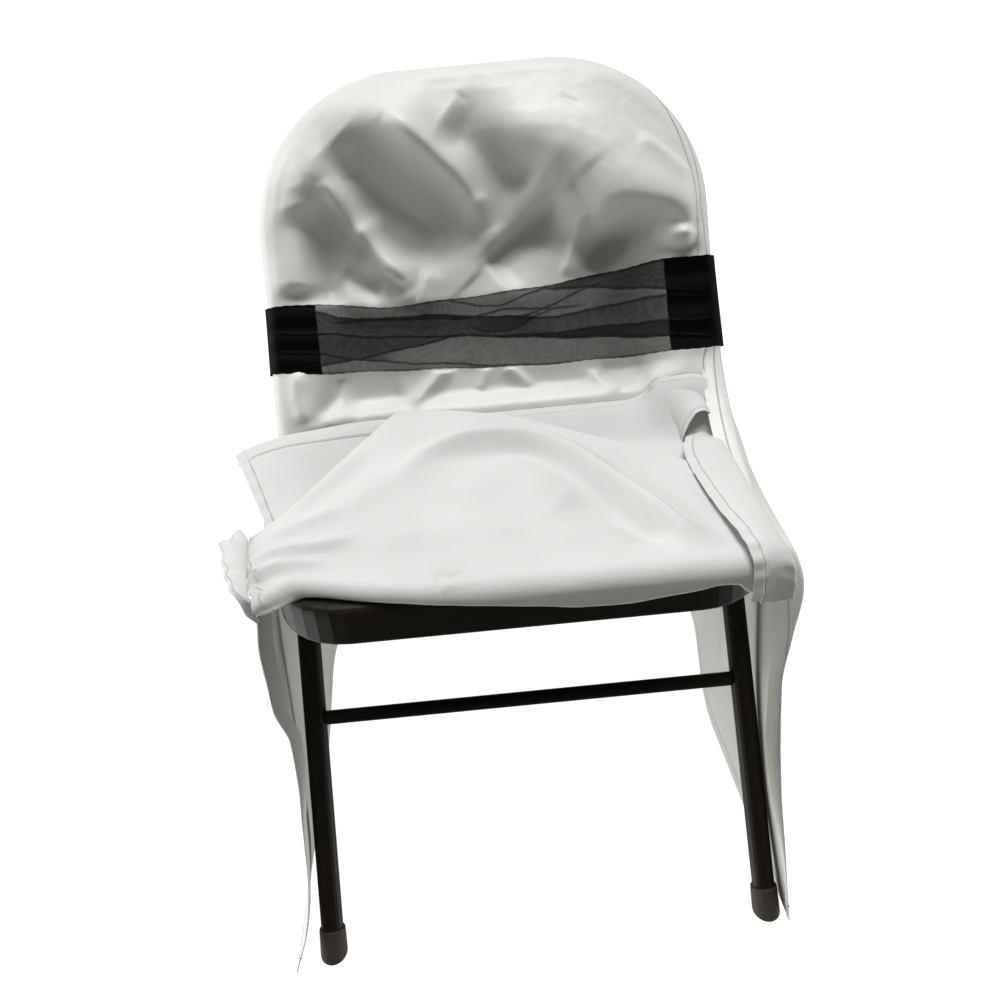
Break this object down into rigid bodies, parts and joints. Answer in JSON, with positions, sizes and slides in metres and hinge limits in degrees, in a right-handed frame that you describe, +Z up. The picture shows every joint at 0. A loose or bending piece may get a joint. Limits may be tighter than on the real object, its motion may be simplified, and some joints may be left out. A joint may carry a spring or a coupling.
{
  "type": "chair cover with sash",
  "caption": "White fitted cover over a steel folding chair, its front skirt folded back on the seat, with a black sash round the back.",
  "frame": {"origin": "on the floor under the middle of the object's outer box", "axes": "+Z up; -Y is the side a sitter's legs point to, so the chair faces -Y; +X is to the right of a viewer in front of it"},
  "size_m": [0.5105, 0.542, 0.7582],
  "materials": {
    "painted_steel": "dark brown paint, satin",
    "foot_rubber": "brown, matt",
    "cover_satin": "white polyester satin, right side, soft sheen",
    "cover_wrong_side": "white polyester, wrong side out, matt",
    "black_organza": "sheer black organza, pleated"
  },
  "bodies": {
    "root": {"front_tube_left": "painted_steel", "front_tube_right": "painted_steel", "back_arch": "painted_steel", "back_rest": "painted_steel", "seat_pan": "painted_steel", "rear_leg_left": "painted_steel", "rear_leg_right": "painted_steel", "front_bar": "painted_steel", "rear_bar": "painted_steel", "seat_pivot_left": "painted_steel", "seat_pivot_right": "painted_steel", "leg_pivot_left": "painted_steel", "leg_pivot_right": "painted_steel", "foot_front_left": "foot_rubber", "foot_front_right": "foot_rubber", "foot_rear_left": "foot_rubber", "foot_rear_right": "foot_rubber", "front_panel": "cover_satin", "rear_panel": "cover_satin", "seat_skirt": "cover_wrong_side", "sash": "black_organza"}
  },
  "joints": []
}
